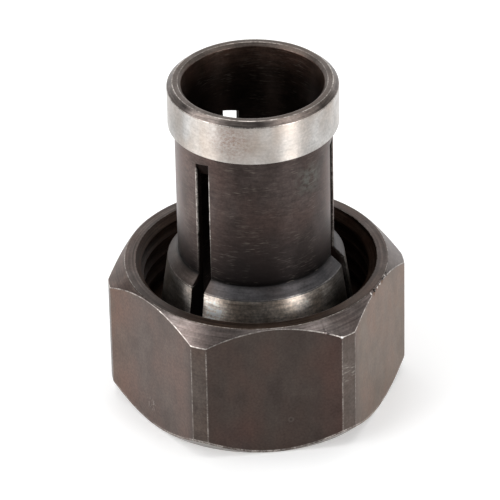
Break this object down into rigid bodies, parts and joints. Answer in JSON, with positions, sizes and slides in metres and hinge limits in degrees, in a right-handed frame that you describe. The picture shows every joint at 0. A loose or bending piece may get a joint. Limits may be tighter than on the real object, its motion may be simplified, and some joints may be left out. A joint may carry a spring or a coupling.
{
  "type": "collet with nut",
  "caption": "Slotted spring collet with a ground taper and pilot band, held captive in its chamfered hexagon nut by a hidden wire snap ring.",
  "frame": {"origin": "centre of the nut's front face, on the common axis of nut and collet", "axes": "+Z along the axis, from the nut's front face to the collet's rear end; two of the nut's flats face -Y and +Y, and two of its corners lie on X"},
  "size_m": [0.027, 0.024, 0.0318],
  "materials": {
    "nut_steel": "black oxide over turned and milled steel, worn bright along its edges",
    "collet_steel": "black oxide on hardened spring steel, with a ground bright band and a ground taper",
    "spring_wire": "drawn spring wire, lightly oiled"
  },
  "bodies": {
    "nut": {"nut": "nut_steel"},
    "snap_ring": {"snap_ring": "spring_wire"},
    "collet": {"collet": "collet_steel"}
  },
  "joints": [
    {"name": "axial_float", "type": "slide", "parent": "nut", "child": "snap_ring", "axis": [0, 0, 1], "range_m": [0, 0.0004]},
    {"name": "collet_spin", "type": "hinge", "parent": "snap_ring", "child": "collet", "pos_m": [0, 0, 0.005], "axis": [0, 0, 1], "continuous": true}
  ]
}
